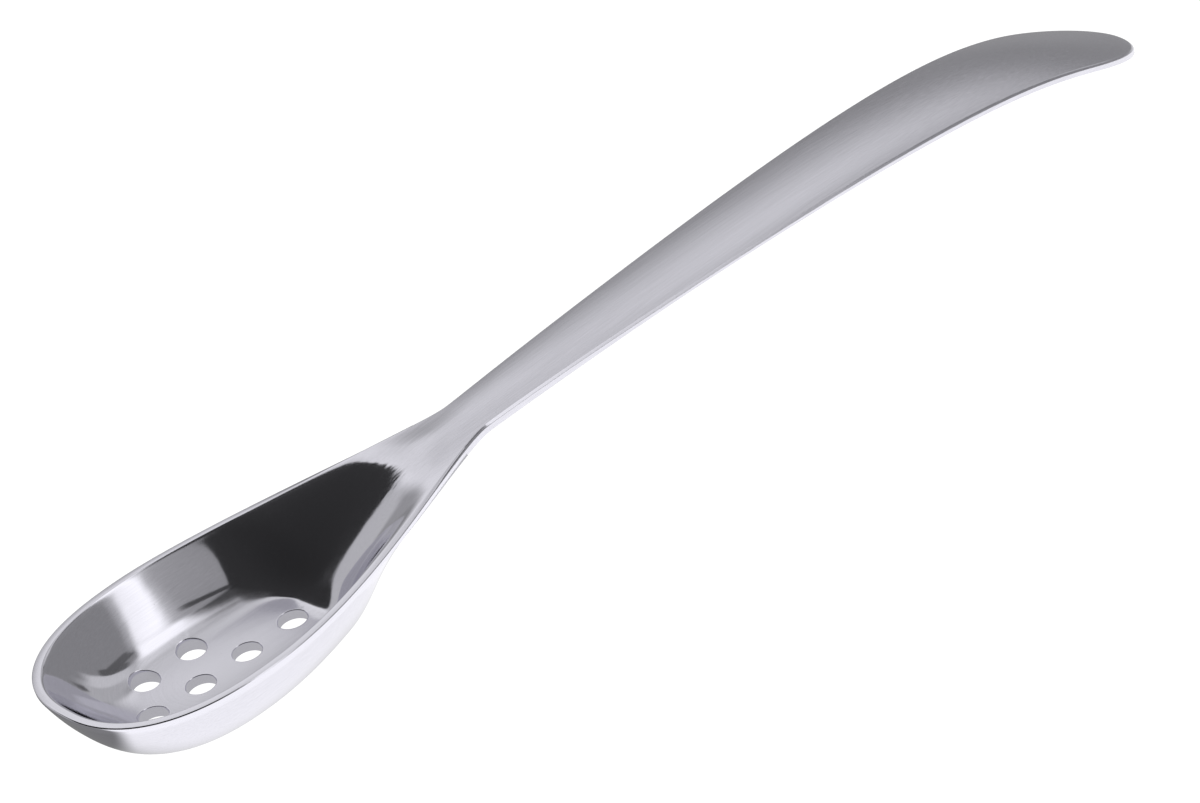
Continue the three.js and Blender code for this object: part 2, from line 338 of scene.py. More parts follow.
class ShaderKit:
    """Nodes of a material or of the world"""

    def __init__(self, tree):
        self.tree = tree
        tree.nodes.clear()

    def add(self, kind, settings=None, sockets=None, output=0):
        """Any node: its settings first, then the values or links of its sockets"""
        node = self.tree.nodes.new(kind)
        for name, value in (settings or {}).items():
            setattr(node, name, value)
        for name, value in (sockets or {}).items():
            if isinstance(value, Wire):
                self.tree.links.new(value.socket, node.inputs[name])
            else:
                node.inputs[name].default_value = value
        return Wire(self, node, output) if node.outputs else None

    def rise(self, value, low, high):
        """Smooth rise from 0 at low to 1 at high, or a fall where low is the higher"""
        return self.add(
            "ShaderNodeMapRange",
            {"interpolation_type": "SMOOTHSTEP"},
            {"Value": value, "From Min": low, "From Max": high},
        )

    def noise(self, place, stretch, detail=2.0, roughness=0.5, turn=(0, 0, 0)):
        """Noise whose grain has the given sizes along X, Y and Z"""
        scale = tuple(1 / size for size in stretch)
        mapped = self.add("ShaderNodeMapping", None, {"Vector": place, "Rotation": turn})
        scaled = self.add("ShaderNodeVectorMath", {"operation": "MULTIPLY"}, {0: mapped, 1: scale})
        sockets = {"Vector": scaled, "Scale": 1, "Detail": detail, "Roughness": roughness}
        return self.add("ShaderNodeTexNoise", None, sockets)

    def mix_colour(self, part, first, second):
        return self.add("ShaderNodeMix", {"data_type": "RGBA"}, {0: part, 6: first, 7: second}, 2)


def blend(first, second, part):
    """Value between two values, any of which may be wires"""
    return part * (second - first) + first


def step(low, high, value):
    """Smooth rise from 0 at low to 1 at high"""
    x = np.clip((value - low) / (high - low), 0, 1)
    return x * x * (3 - 2 * x)


def lerp(first, second, part):
    """Number between two numbers"""
    return first + (second - first) * part


class Line:
    """Smooth line between two points of a view, read by station. A pull is the share of the way
    along which it keeps the direction of its end"""

    def __init__(self, start, end, leave, arrive, start_slope=0.0, end_slope=0.0):
        run = end[0] - start[0]
        points = interpolate_bezier(
            Vector(start),
            Vector(start) + run * leave * Vector((1, start_slope)),
            Vector(end) - run * arrive * Vector((1, end_slope)),
            Vector(end),
            CURVE_STEPS,
        )
        self.stations, self.values = np.array(points, float).T

    def at(self, station):
        return np.interp(station, self.stations, self.values)


class SpoonShape:
    """Outline and faces of the spoon, worked out from the sizes of a scene"""

    def __init__(self, scene):
        self.outline = scene.spoon_outline
        self.profile = scene.spoon_profile
        self.bowl = scene.spoon_bowl
        self.handle = scene.spoon_handle
        self.rounding = scene.spoon_rounding
        outline, profile, bowl = self.outline, self.profile, self.bowl
        self.end_widest = LENGTH - outline.end_length
        self.crest = outline.neck_at + profile.crest_past_neck
        narrow = (outline.neck_at, outline.neck_width / 2)
        broad = (self.end_widest, HANDLE_WIDTH / 2)
        widest = (outline.widest_at, BOWL_WIDTH / 2)
        self.bowl_side = Line(widest, narrow, outline.shoulder_pull, outline.neck_pull)
        self.handle_side = Line(narrow, broad, outline.flare_pull, outline.broad_pull)
        level = (profile.rim_level_to, profile.rim_height)
        crest = (self.crest, profile.arch_height)
        end = (LENGTH, self.handle.end_edge)
        self.rise = Line(level, crest, profile.rim_pull, profile.rise_pull)
        self.fall = Line(crest, end, profile.fall_pull, profile.end_pull, 0, profile.end_slope)
        self.hollow_end = bowl.ramp_to
        self.climb = self.ramp_line()

    def ramp_line(self):
        """Stations and heights of the floor's climb, which soon is steepest and then eases into the
        height and slope of the handle's top face"""
        bowl = self.bowl
        station = np.linspace(bowl.ramp_from, self.hollow_end, CURVE_STEPS)
        top, past = self.crowned(np.array([self.hollow_end, self.hollow_end + SUPPORT]))
        past_steep = np.maximum(station - bowl.ramp_steep, 0) / (self.hollow_end - bowl.ramp_steep)
        easing = 1 - (1 - past_steep) ** bowl.ramp_ease
        rising = step(bowl.ramp_from, bowl.ramp_steep, station) * (1 - easing)
        gap = station[1] - station[0]
        last = easing * (past - top) / SUPPORT
        steepest = (top - bowl.sheet - np.sum(last) * gap) / (np.sum(rising) * gap)
        slope = rising * steepest + last
        return station, bowl.sheet + np.cumsum(slope) * gap

    def half_width(self, station):
        outline = self.outline
        tip = round_end(station / outline.widest_at, outline.tip_fullness) * BOWL_WIDTH / 2
        end = round_end((LENGTH - station) / outline.end_length, outline.end_fullness)
        return np.select(
            [station < outline.widest_at, station < outline.neck_at, station < self.end_widest],
            [tip, self.bowl_side.at(station), self.handle_side.at(station)],
            end * HANDLE_WIDTH / 2,
        )

    def edge_height(self, station):
        return np.where(station < self.crest, self.rise.at(station), self.fall.at(station))

    def along_ramp(self, station):
        return step(self.bowl.ramp_from, self.hollow_end, station)

    def band(self, station):
        """Width of the rim, which narrows to the broken edge of the handle"""
        return lerp(self.bowl.rim_width, self.handle.edge_break, self.along_ramp(station))

    def edge_drop(self, station):
        """How much lower the outer side of the rim or of the broken edge is"""
        return self.handle.edge_break * self.along_ramp(station)

    def towards_crest(self, station):
        return step(self.outline.neck_at, self.crest, station)

    def edge_thickness(self, station):
        to_crest = lerp(self.handle.neck_edge, self.handle.crest_edge, self.towards_crest(station))
        past_crest = step(self.crest, LENGTH, station)
        solid = lerp(to_crest, self.handle.end_edge, past_crest)
        return lerp(self.bowl.rim_edge, solid, self.along_ramp(station))

    def bulge(self, station):
        return (self.half_width(station) / (HANDLE_WIDTH / 2)) ** self.handle.bulge_power

    def crowned(self, station):
        return self.edge_height(station) + self.handle.crown * self.bulge(station)

    def handle_back(self, station):
        back = self.handle.neck_belly * (1 - self.towards_crest(station))
        belly = back + self.handle.belly * self.bulge(station)
        return self.edge_height(station) - self.edge_thickness(station) - belly

    def top_middle(self, station):
        climb = np.interp(station, *self.climb)
        return np.where(station < self.hollow_end, climb, self.crowned(station))

    def under_middle(self, station):
        height = self.top_middle(station)
        slope = (self.top_middle(station + SUPPORT) - height) / SUPPORT
        solid = self.crowned(station) - self.handle_back(station)
        sheet = lerp(self.bowl.sheet, solid, self.along_ramp(station))
        on_ramp = height - sheet * np.sqrt(1 + slope * slope)
        return np.where(station < self.hollow_end, on_ramp, self.handle_back(station))

    def across(self, station, side, inset):
        """Share of the way from the spoon's middle to its edge"""
        outline = self.outline
        full = outline.tip_fullness
        to_tip = np.maximum(outline.widest_at - station, 0) / (outline.widest_at - inset)
        to_side = np.abs(side) / (BOWL_WIDTH / 2 - inset)
        tip_share = (to_tip**full + to_side**full) ** (1 / full)
        half = np.maximum(self.half_width(station) - inset, MERGE)
        return np.clip(np.where(station < outline.widest_at, tip_share, np.abs(side) / half), 0, 1)

    def lip(self, station):
        """Share of the half width over which the top face rounds into the rim"""
        bowl, rounding = self.bowl, self.rounding
        beside_ramp = step(bowl.ramp_from, bowl.ramp_steep, station)
        past_ramp = step(bowl.rolls_from, bowl.rolls_to, station)
        width = lerp(rounding.rim_inside, rounding.shoulder_inside, beside_ramp)
        width = lerp(width, rounding.handle_edge, past_ramp)
        return width / (self.half_width(station) - self.band(station))

    def climbed(self, part, station):
        """Share of the hollow's depth climbed from the floor, rounded into the rim"""
        lip = self.lip(station)
        rounded = part - np.maximum(part - 1 + lip, 0) ** 2 / (2 * lip)
        return self.wall(rounded, station) / self.wall(1 - lip / 2, station)

    def wall(self, part, station):
        """Climb before its rounding: dished floor, round corner and wall in the bowl, rolled over
        beside the ramp, and a crown on the handle"""
        bowl = self.bowl
        flat = lerp(bowl.floor_flat, 0, step(bowl.narrows_from, bowl.narrows_to, station))
        bent = bowl.wall_from - flat
        turn = np.clip((part - flat) / bent, 0, 1)
        rise = bent * (turn**3 - turn**4 / 2) + np.maximum(part - bowl.wall_from, 0)
        straight = rise / (bent / 2 + 1 - bowl.wall_from)
        dish = bowl.floor_dish * (1 - step(bowl.narrows_from, bowl.ramp_steep, station))
        straight = lerp(straight, part * part, dish)
        as_crown = step(bowl.rolls_from, bowl.rolls_to, station - CROWN_LAG)
        rolled = lerp(step(0, 1, part), part * part, as_crown)
        return lerp(straight, rolled, step(bowl.rolls_from, bowl.rolls_to, station))

    def top_height(self, station, side):
        part = self.across(station, side, self.band(station))
        station = np.maximum(station, self.outline.widest_at)
        return lerp(self.top_middle(station), self.edge_height(station), self.climbed(part, station))

    def under_height(self, station, side):
        part = self.across(station, side, 0)
        station = np.maximum(station, self.outline.widest_at)
        opened = step(self.outline.widest_at, self.bowl.outside_opens_to, station)
        flat = lerp(self.bowl.outside_flat, 0, self.along_ramp(station))
        past_flat = np.clip((part - flat) / (1 - flat), 0, 1)
        foot = self.edge_height(station) - self.edge_thickness(station)
        bend = lerp(self.bowl.outside_bend, self.handle.back_bend, opened)
        return lerp(self.under_middle(station), foot, past_flat**bend)


def round_end(part, fullness):
    """Share of the full width along a rounded end, where 0 is its tip and 1 its widest place"""
    return (1 - (1 - np.clip(part, 0, 1)) ** fullness) ** (1 / fullness)


def round_rows(size, half, fullness, inset):
    """Places round half of a rounded end, from its tip to its widest place, at even distances
    along the outer outline"""
    angle = np.linspace(0, math.pi / 2, CURVE_STEPS)
    along = 1 - np.clip(np.cos(angle), 0, 1) ** (2 / fullness)
    side = np.sin(angle) ** (2 / fullness)
    walked = np.cumsum(np.hypot(np.diff(along * size, prepend=0), np.diff(side * half, prepend=0)))
    even = np.linspace(0, walked[-1], ROUND_ROWS + 1)
    along, side = np.interp(even, walked, along), np.interp(even, walked, side)
    return inset + (size - inset) * along, (half - inset) * side


def tip_rows(shape):
    """Rows of the bowl's tip: outer station and side, inner station and side, middle station"""
    outline = shape.outline
    sizes = (outline.widest_at, BOWL_WIDTH / 2, outline.tip_fullness)
    outer = round_rows(*sizes, 0)
    inner = round_rows(*sizes, shape.bowl.rim_width)
    return np.column_stack([*outer, *inner, np.full(ROUND_ROWS + 1, outline.widest_at)])


def side_rows(shape, start, end, count):
    """Rows straight across, with a close row at each end so that neighbours meet without a crease"""
    station = np.concatenate([[start], np.linspace(start + SUPPORT, end - SUPPORT, count), [end]])
    half = shape.half_width(station)
    return np.column_stack([station, half, station, half - shape.band(station), station])


def end_rows(shape):
    """Rows of the handle's rounded end, whose middles are spread along the end"""
    outline = shape.outline
    sizes = (outline.end_length, HANDLE_WIDTH / 2, outline.end_fullness)
    outer_along, outer_side = round_rows(*sizes, 0)
    inner_along, inner_side = round_rows(*sizes, shape.handle.edge_break)
    middle = lerp(outline.end_length, inner_along, END_SPREAD)
    rows = np.column_stack([
        LENGTH - outer_along, outer_side, LENGTH - inner_along, inner_side, LENGTH - middle
    ])
    return rows[::-1]


def skin_points(shape, rows):
    """Points of half of the skin, and how frosted it is there: each row runs from the middle of the
    top face over the edge to the middle of the underside"""
    outer, inner, middle = rows[:, None, 0:2], rows[:, None, 2:4], rows[:, None, 4:5]
    middle = np.concatenate([middle, np.zeros_like(middle)], axis=2)
    crowding = lerp(BOWL_CROWDING, HANDLE_CROWDING, shape.along_ramp(rows[:, :1]))
    top_share = 1 - (1 - np.linspace(0, 1, TOP_COLUMNS)[None, :]) ** crowding
    under_share = 1 - np.linspace(0, 1, UNDER_COLUMNS)[None, :] ** crowding
    top = lerp(middle, inner, top_share[:, :, None])
    under = lerp(middle, outer, under_share[:, :, None])
    edge_station = np.maximum(rows[:, 0], shape.outline.widest_at)
    edge = shape.edge_height(edge_station) - shape.edge_drop(edge_station)
    plan = np.concatenate([top, outer, under], axis=1)
    height = np.concatenate([
        shape.top_height(top[..., 0], top[..., 1]),
        edge[:, None],
        shape.under_height(under[..., 0], under[..., 1]),
    ], axis=1)
    beside_ramp = step(shape.bowl.ramp_from, shape.bowl.ramp_steep, rows[:, :1])
    rounded = lerp(shape.rounding.rim_inside, shape.rounding.shoulder_inside, beside_ramp)
    from_rim = np.concatenate([
        np.linalg.norm(top - inner, axis=2),
        np.zeros((len(rows), 1)),
        np.linalg.norm(under - outer, axis=2) / FROST_OUTSIDE,
    ], axis=1)
    frost = 1 - step(FROST_FADE, 1, from_rim / (rounded * FROST_REACH))
    return np.dstack([plan[..., 0] + TIP, plan[..., 1], height]), frost


def make_skin(shape, rows):
    """Mirrored skin through the rows, each corner marked with its line of the skin and its frost"""
    points, frosted = skin_points(shape, rows)
    row_count, column_count = points.shape[:2]
    mesh = bmesh.new()
    line = mesh.verts.layers.int.new("line")
    frost = mesh.verts.layers.float.new("frost")
    made = bmesh.ops.create_grid(mesh, x_segments=row_count - 1, y_segments=column_count - 1, size=1)
    for vertex in made["verts"]:
        row = round((vertex.co.x + 1) / 2 * (row_count - 1))
        column = round((vertex.co.y + 1) / 2 * (column_count - 1))
        vertex.co = points[row, column]
        vertex[line] = column
        vertex[frost] = frosted[row, column]
    half = mesh.verts[:] + mesh.edges[:] + mesh.faces[:]
    bmesh.ops.mirror(mesh, geom=half, axis="Y", merge_dist=MERGE)
    bmesh.ops.remove_doubles(mesh, verts=mesh.verts[:], dist=MERGE)
    bmesh.ops.dissolve_degenerate(mesh, edges=mesh.edges[:], dist=MERGE)
    return mesh


def close_end(mesh, station):
    """Flat face where a neighbour meets this piece"""
    edges = [e for e in mesh.edges if e.is_boundary and
             all(abs(v.co.x - TIP - station) < MERGE for v in e.verts)]
    made = bmesh.ops.edgeloop_fill(mesh, edges=edges)
    return made["faces"]


def mark_rounding(mesh, shape):
    """Weights for rounding the edges of the rim and of the handle"""
    line = mesh.verts.layers.int["line"]
    weight = mesh.edges.layers.float.new("bevel_weight_edge")
    rounding = shape.rounding
    widest = max(rounding.rim_outside, rounding.handle_edge)
    for edge in mesh.edges:
        first, second = edge.verts
        if first[line] != second[line] or not TOP_COLUMNS - 1 <= first[line] <= TOP_COLUMNS + 1:
            continue
        station = (first.co.x + second.co.x) / 2 - TIP
        turning = float(shape.along_ramp(station))
        if first[line] == TOP_COLUMNS:
            edge[weight] = lerp(rounding.rim_outside, rounding.handle_edge, turning) / widest
        elif turning == 1:
            edge[weight] = rounding.handle_edge / widest
    return widest


def hole_places(holes):
    """Centres of the drain holes: a row in the middle and a shorter one on each side, half a
    pitch along"""
    rows = [(holes.centre_count, 0.0, 0.0)]
    rows += [(holes.side_count, 0.5, side * holes.row_spacing) for side in (-1, 1)]
    return [
        Vector((TIP + holes.first_at + (index + offset) * holes.pitch, side, 0))
        for count, offset, side in rows
        for index in range(count)
    ]


def pierce(mesh, shape, holes, place):
    """One drain hole through both faces of the floor, with rounded edges"""
    line = mesh.verts.layers.int["line"]
    frost = mesh.verts.layers.float["frost"]
    radius, edge = holes.diameter / 2, shape.rounding.hole_edge
    clear = radius + edge + holes.margin
    faces = ((0, TOP_COLUMNS - 1, shape.top_height, -1),
             (TOP_COLUMNS + 1, TOP_COLUMNS + UNDER_COLUMNS, shape.under_height, 1))
    wall = []
    for first, last, height, inwards in faces:
        near = [face for face in mesh.faces
                if all(first <= corner[line] <= last for corner in face.verts)
                and any((corner.co - place).xy.length < clear for corner in face.verts)]
        border = {side for face in near for side in face.edges}
        bmesh.ops.delete(mesh, geom=near, context="FACES")
        loop = [side for side in border if side.is_valid]
        for part in range(-1, EDGE_SEGMENTS + 1):
            angle = math.pi / 2 * max(part, 0) / EDGE_SEGMENTS
            flat = 2 * SUPPORT if part < 0 else 0
            made = bmesh.ops.extrude_edge_only(mesh, edges=loop)["geom"]
            loop = [item for item in made if isinstance(item, bmesh.types.BMEdge)]
            ring = list({vertex for item in loop for vertex in item.verts})
            for _ in range(RING_EVENING if part < 0 else 0):
                bmesh.ops.smooth_vert(mesh, verts=ring, factor=0.5, use_axis_x=True, use_axis_y=True)
                for vertex in ring:
                    vertex.co.xy = place.xy + (vertex.co - place).xy.normalized() * radius
            for vertex in ring:
                outwards = (vertex.co - place).xy.normalized()
                spot = place.xy + outwards * (radius + edge * (1 - math.sin(angle)) + flat)
                surface = float(height(np.array(spot.x - TIP), np.array(spot.y)))
                vertex.co = (*spot, surface + inwards * edge * (1 - math.cos(angle)))
                vertex[line] = -1
                vertex[frost] = min(part + 1, 1)
        wall += loop
    bmesh.ops.bridge_loops(mesh, edges=wall)


def make_piece(context, name, mesh, caps, width, steel):
    """Finished piece that stands for the node of the same name"""
    bmesh.ops.recalc_face_normals(mesh, faces=mesh.faces[:])
    for face in mesh.faces:
        face.smooth = True
    for face in caps:
        face.smooth = False
        for edge in face.edges:
            edge.smooth = False
    data = bpy.data.meshes.new(name + "_steel")
    mesh.to_mesh(data)
    mesh.free()
    piece = bpy.data.objects.new(name + "_steel", data)
    context.scene.collection.objects.link(piece)
    data.materials.append(steel)
    rounded = piece.modifiers.new("Rounded edges", "BEVEL")
    rounded.limit_method = "WEIGHT"
    rounded.offset_type = "OFFSET"
    rounded.width = width
    rounded.segments = EDGE_SEGMENTS
    rounded.profile = 0.5
    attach(piece, BODY)
    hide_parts(name)
    return piece


# Where the finish changes, measured from the neck along X
GROUND_FROM, GROUND_TO = -19 * MM, -4 * MM
SATIN_FROM, SATIN_TO = -2 * MM, 30 * MM
FURROWS_START, FURROWS_FULL = -26 * MM, -18 * MM
FURROWS_FADE, FURROWS_END = -8 * MM, 4 * MM

# Where the strokes round the tip start and are full, from the bowl's widest place along X
TIP_STROKES_FROM, TIP_STROKES_FULL = 2 * MM, -4 * MM

# Distance from that place where they are as long as the strokes along the spoon
TIP_STROKES_RADIUS = 20 * MM

# Heights and stations where the floor's duller polish has ended and where it is still full
DULL_HEIGHT_END, DULL_HEIGHT_FULL = 4.5 * MM, 2.6 * MM
DULL_STATION_END, DULL_STATION_FULL = 49 * MM, 43 * MM

# Random numbers up to which a place has no speck of dust and from which it has a full one
DUST_NONE, DUST_FULL = 0.45, 0.6

# Share of a speck's size within which it is solid
DUST_SOLID = 0.4


def make_steel(scene, name):
    """Steel that is polished in the bowl, ground at the neck and satin on the handle"""
    finish = scene.spoon_finish
    material = bpy.data.materials.new(name)
    material.use_nodes = True
    kit = ShaderKit(material.node_tree)
    place = kit.add("ShaderNodeTexCoord", None, None, "Object")
    axes = kit.add("ShaderNodeSeparateXYZ", None, {"Vector": place})
    along, side, height = axes, axes.other("Y"), axes.other("Z")
    neck = scene.spoon_outline.neck_at + TIP
    to_neck = kit.rise(along, neck + GROUND_FROM, neck + GROUND_TO)
    to_handle = kit.rise(along, neck + SATIN_FROM, neck + SATIN_TO)
    centre = TIP + scene.spoon_outline.widest_at
    at_tip = kit.rise(along, centre + TIP_STROKES_FROM, centre + TIP_STROKES_FULL)
    frost = kit.add("ShaderNodeAttribute", {"attribute_name": "frost"}, None, "Fac")
    on_rim = frost * (1 - to_neck)
    on_floor = kit.rise(height, DULL_HEIGHT_END, DULL_HEIGHT_FULL)
    on_floor = on_floor * kit.rise(along, TIP + DULL_STATION_END, TIP + DULL_STATION_FULL)

    long, thin = finish.stroke_length, finish.stroke_width
    from_centre = centre - along
    angle = side.math("ARCTAN2", side, from_centre)
    radius = (from_centre * from_centre + side * side) ** 0.5
    around = angle * TIP_STROKES_RADIUS
    ring = kit.add("ShaderNodeCombineXYZ", None, {"X": around, "Y": radius, "Z": height})
    strokes = kit.noise(place, (long, thin, thin), 3, 0.6)
    strokes = blend(strokes, kit.noise(ring, (long, thin, thin), 3, 0.6), at_tip)
    fine = kit.noise(place, (long / 2, thin / 2, thin / 2), 2, 0.6, (0, 0, 0.03))
    cross = kit.noise(place, (thin, long / 4, long / 4), 2, 0.6, (0, 0, 0.5))
    wave = finish.wave_length
    waves = kit.noise(place, (wave * 1.6, wave, wave), 2, 0.45)
    broad = kit.noise(place, (wave * 5, wave * 3, wave * 3), 2, 0.5)

    dust_scale = 1 / finish.dust_spacing
    dust = kit.add("ShaderNodeTexVoronoi", {"feature": "F1"}, {"Vector": place, "Scale": dust_scale})
    size = finish.dust_size * dust_scale
    pick = kit.add("ShaderNodeSeparateColor", None, {"Color": dust.other("Color")})
    specks = kit.rise(dust, size, size * DUST_SOLID) * kit.rise(pick, DUST_NONE, DUST_FULL)

    polish = blend(finish.bowl_roughness, finish.neck_roughness, to_neck)
    polish = blend(polish, finish.handle_roughness, to_handle)
    polish = blend(polish, finish.floor_roughness, on_floor)
    polish = blend(polish, finish.rim_roughness, on_rim)
    polish = polish + (strokes - 0.5) * blend(finish.bowl_haze, finish.neck_haze, to_neck)
    polish = polish + (broad - 0.5) * finish.broad_haze
    polish = polish + specks * finish.dust_roughness

    surface = (strokes + fine * 0.5) * blend(finish.bowl_depth, finish.neck_depth, to_neck)
    ground = kit.rise(along, neck + FURROWS_START, neck + FURROWS_FULL)
    ground = ground * kit.rise(along, neck + FURROWS_END, neck + FURROWS_FADE)
    furrow = finish.furrow_width
    furrows = kit.noise(place, (furrow * 7, furrow, furrow), 1, 0.4)
    surface = surface + furrows * ground * finish.furrow_depth
    surface = surface + cross * on_rim * finish.rim_depth
    surface = surface + waves * blend(finish.bowl_waves, finish.handle_waves, to_handle)
    surface = surface + specks * finish.dust_height
    bump = kit.add("ShaderNodeBump", None, {"Height": surface / MM, "Strength": 1, "Distance": MM})

    tone = (strokes - 0.5) * blend(finish.bowl_tone, finish.neck_tone, to_neck)
    tone = tone + (fine - 0.5) * finish.fine_tone + (broad - 0.5) * finish.broad_tone
    # Painted highlight: the frosted rim and hole edges are made clearer in colour
    tone = tone + 0.5 + on_rim * finish.rim_painted_highlight
    dull = (*(value * (1 - finish.tone_range) for value in finish.steel), 1)
    clear = (*(min(value * (1 + finish.tone_range), 1) for value in finish.steel), 1)
    shade = kit.mix_colour(tone, dull, clear)
    shader = kit.add("ShaderNodeBsdfPrincipled", None, {
        "Base Color": shade, "Metallic": 1, "Roughness": polish, "Normal": bump
    })
    kit.add("ShaderNodeOutputMaterial", None, {"Surface": shader})
    return material


# Cards round the spoon, as seen in a round mirror lying on the table: brightness at the left and at
# the right, X and Y of the middle, half the size along X and Y, turn in degrees and share of the
# card that its soft border takes. The middle of the mirror shows what is overhead, and its edge at 1
# shows the horizon. A later card covers an earlier one.
CARDS = {
    "wall at the right": (0.60, 0.62, 0.58, 0.17, 0.26, 0.18, 0, 0.2),
    "light band on that wall": (0.80, 0.80, 0.58, -0.02, 0.20, 0.095, 0, 0.25),
    "dark mark low at the right": (0.14, 0.20, 0.845, 0.145, 0.03, 0.045, 20, 0.5),
    "light card high at the back": (0.95, 0.84, 0.25, 0.32, 0.11, 0.20, 0, 0.4),
    "bright foot of that card": (1.05, 1.00, 0.25, 0.53, 0.08, 0.06, 0, 0.6),
    "bright card high at the right": (1.05, 1.00, 0.27, -0.02, 0.09, 0.13, 0, 0.5),
    "grey gap beside the light card": (0.47, 0.47, 0.42, 0.28, 0.05, 0.06, 0, 0.5),
    "dark bar at the right": (0.17, 0.15, 0.53, -0.155, 0.125, 0.05, 0, 0.15),
    "bent end of that bar": (0.17, 0.15, 0.47, -0.24, 0.12, 0.05, 40, 0.15),
    "light band low at the back": (0.66, 0.70, -0.32, 0.70, 0.40, 0.20, 0, 0.15),
    "grey patch beside that band": (0.45, 0.45, 0.15, 0.78, 0.08, 0.17, 0, 0.5),
    "dark card overhead": (0.018, 0.05, -0.40, -0.20, 0.605, 0.763, 0, 0.006),
    "paler edge of the dark card": (0.055, 0.10, 0.13, -0.14, 0.07, 0.27, 0, 0.1),
    "grey card in front": (0.39, 0.52, 0.165, -0.58, 0.085, 0.245, -22, 0.05),
    "dark mark on the grey card": (0.08, 0.09, 0.145, -0.475, 0.045, 0.03, 0, 0.2),
    "light strip in front": (0.74, 0.58, 0.29, -0.58, 0.09, 0.24, 0, 0.3),
    "bright middle of that strip": (1.70, 1.40, 0.285, -0.58, 0.055, 0.26, 0, 0.35),
    "bright card high in front": (1.60, 1.60, 0.265, -0.225, 0.07, 0.125, 0, 0.3),
}

# How square the corners of a card are, where 2 is an ellipse
CARD_CORNERS = 6

# Places in that mirror where the far wall has its foot and where it is fully bright
FAR_WALL_FOOT, FAR_WALL_TOP = 0.88, 0.5

# Places in that mirror where the side walls end and where the far wall is reached
SIDE_WALLS_END, FAR_WALL_START = 0.05, 0.4


def make_studio(scene):
    """World that lights the spoon: walls, and light and dark cards. A reflection of a reflection
    shows nothing darker than the second light"""
    studio = scene.spoon_studio
    world = bpy.data.worlds.new("studio")
    world.use_nodes = True
    kit = ShaderKit(world.node_tree)
    towards = kit.add("ShaderNodeTexCoord", None, None, "Generated")
    axes = kit.add("ShaderNodeSeparateXYZ", None, {"Vector": towards})
    x, y, z = axes, axes.other("Y"), axes.other("Z")
    level = (x * x + y * y + 1e-6) ** 0.5
    down = z.math("ARCCOSINE", z) * (2 / math.pi)
    across, away = down * x / level, down * y / level
    far = blend(studio.horizon, studio.far_wall, kit.rise(down, FAR_WALL_FOOT, FAR_WALL_TOP))
    light = blend(studio.side_wall, far, kit.rise(away, SIDE_WALLS_END, FAR_WALL_START))
    for left, right, middle_x, middle_y, half_x, half_y, turn, soft in CARDS.values():
        cosine, sine = math.cos(math.radians(turn)), math.sin(math.radians(turn))
        from_x, from_y = across - middle_x, away - middle_y
        card_x, card_y = from_x * cosine + from_y * sine, from_y * cosine - from_x * sine
        part_x = card_x.math("ABSOLUTE", card_x / half_x) ** CARD_CORNERS
        part_y = card_y.math("ABSOLUTE", card_y / half_y) ** CARD_CORNERS
        card = kit.rise((part_x + part_y) ** (1 / CARD_CORNERS), 1 + soft, 1 - soft)
        bright = card_x * ((right - left) / half_x / 2) + (left + right) / 2
        light = blend(light, bright, card)
    seen = kit.add("ShaderNodeLightPath", None, None, "Is Camera Ray")
    again = kit.rise(seen.other("Glossy Depth"), 1, 2)
    light = light.math("MAXIMUM", light, again * studio.second_light)
    light = blend(light, studio.backdrop, seen)
    sky = kit.add("ShaderNodeBackground", None, {"Strength": light})
    kit.add("ShaderNodeOutputWorld", None, {"Surface": sky})
    scene.world = world


# Shadows painted on the table, which the steel mirrors: X from the tip, Y, half length, half width,
# share that is full
BOWL_SHADOW = (30 * MM, 0, 34 * MM, 17 * MM, 0.5)
TIP_SHADOW = (-8 * MM, 12 * MM, 20 * MM, 22 * MM, 0.8)

# Share of a shadow's half sizes where it has faded out
SHADOW_END = 1.1


def painted_table_shadow(kit, axes, tip, shadow):
    """Soft oval shadow painted on the table: 1 where it is full and 0 where it has faded out"""
    from_tip, side, half_length, half_width, full = shadow
    part_x = (axes - (tip + from_tip)) / half_length
    part_y = (axes.other("Y") - side) / half_width
    return kit.rise((part_x * part_x + part_y * part_y) ** 0.5, SHADOW_END, full)


